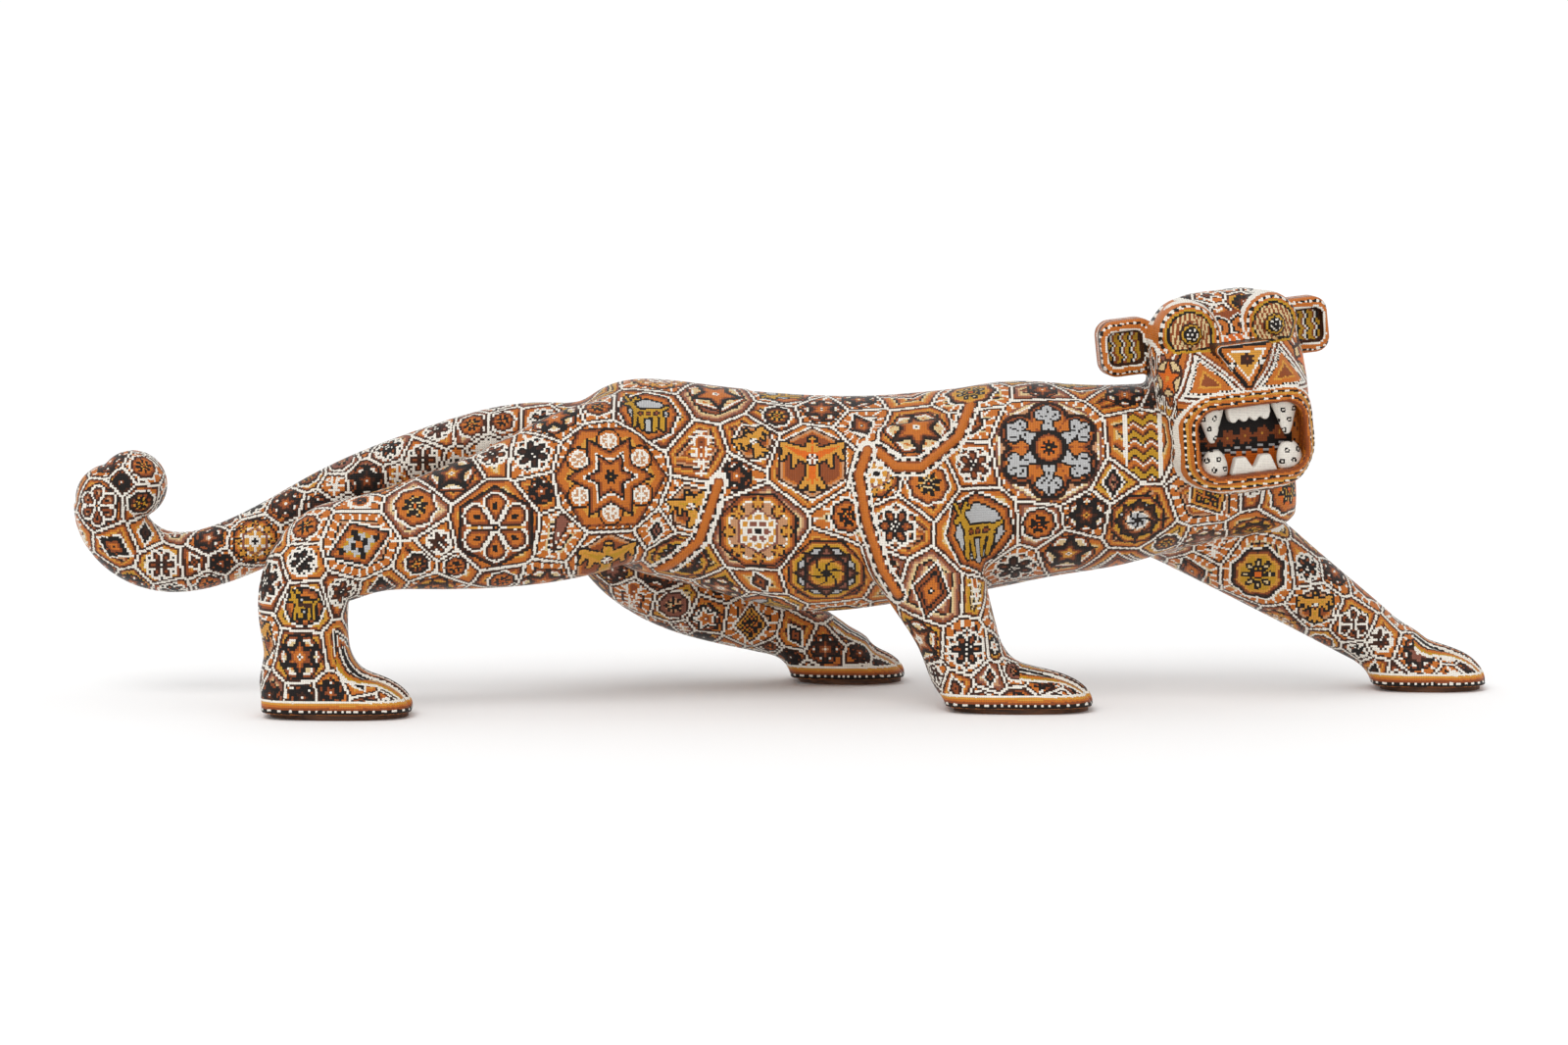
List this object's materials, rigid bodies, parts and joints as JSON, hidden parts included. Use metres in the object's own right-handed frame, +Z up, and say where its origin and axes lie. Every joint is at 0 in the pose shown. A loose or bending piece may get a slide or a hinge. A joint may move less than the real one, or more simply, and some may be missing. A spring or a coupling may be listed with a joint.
{
  "type": "beaded big cat figure",
  "caption": "Free-standing prowling big cat carved from dowelled wood blocks and covered all over with patterned glass bead skin, head turned, mouth open.",
  "frame": {"origin": "on the ground, under the middle of the figure's box", "axes": "+X towards the head along the body, -Y the cat's right side, +Z up"},
  "size_m": [1.5198, 0.3584, 0.4446],
  "materials": {
    "carved_wood": "sawn and rasped softwood",
    "dowel_wood": "turned hardwood",
    "bead_skin": "glass seed beads in orange, brown, white, yellow and grey, pressed in beeswax",
    "tooth_beads": "white glass seed beads",
    "eye_beads": "black glass seed beads in rings",
    "sole_wood": "stained wood"
  },
  "bodies": {
    "root": {"eyes": "eye_beads", "head_dowels": "dowel_wood", "hip_dowels": "dowel_wood", "jaw_block": "carved_wood", "jaw_skin": "bead_skin", "left_ear_block": "carved_wood", "left_ear_skin": "bead_skin", "left_front_lower_block": "carved_wood", "left_front_lower_skin": "bead_skin", "left_front_paw_block": "carved_wood", "left_front_upper_block": "carved_wood", "left_front_upper_skin": "bead_skin", "left_hind_lower_block": "carved_wood", "left_hind_lower_skin": "bead_skin", "left_hind_paw_block": "carved_wood", "left_hind_upper_block": "carved_wood", "left_hind_upper_skin": "bead_skin", "leg_dowels": "dowel_wood", "lower_fangs": "tooth_beads", "lower_front_teeth": "tooth_beads", "neck_block": "carved_wood", "neck_dowels": "dowel_wood", "neck_skin": "bead_skin", "nose_pad": "bead_skin", "right_ear_block": "carved_wood", "right_ear_skin": "bead_skin", "right_front_lower_block": "carved_wood", "right_front_lower_skin": "bead_skin", "right_front_paw_block": "carved_wood", "right_front_upper_block": "carved_wood", "right_front_upper_skin": "bead_skin", "right_hind_lower_block": "carved_wood", "right_hind_lower_skin": "bead_skin", "right_hind_paw_block": "carved_wood", "right_hind_upper_block": "carved_wood", "right_hind_upper_skin": "bead_skin", "shoulder_dowels": "dowel_wood", "skull_block": "carved_wood", "skull_skin": "bead_skin", "sole_pads": "sole_wood", "tail_bend_block": "carved_wood", "tail_bend_skin": "bead_skin", "tail_dowels": "dowel_wood", "tail_middle_block": "carved_wood", "tail_middle_skin": "bead_skin", "tail_root_block": "carved_wood", "tail_root_skin": "bead_skin", "tail_tip_block": "carved_wood", "tail_tip_skin": "bead_skin", "torso_dowels": "dowel_wood", "torso_front_block": "carved_wood", "torso_front_skin": "bead_skin", "torso_middle_block": "carved_wood", "torso_middle_skin": "bead_skin", "torso_rear_block": "carved_wood", "torso_rear_skin": "bead_skin", "upper_fangs": "tooth_beads", "upper_front_teeth": "tooth_beads"}
  },
  "joints": []
}
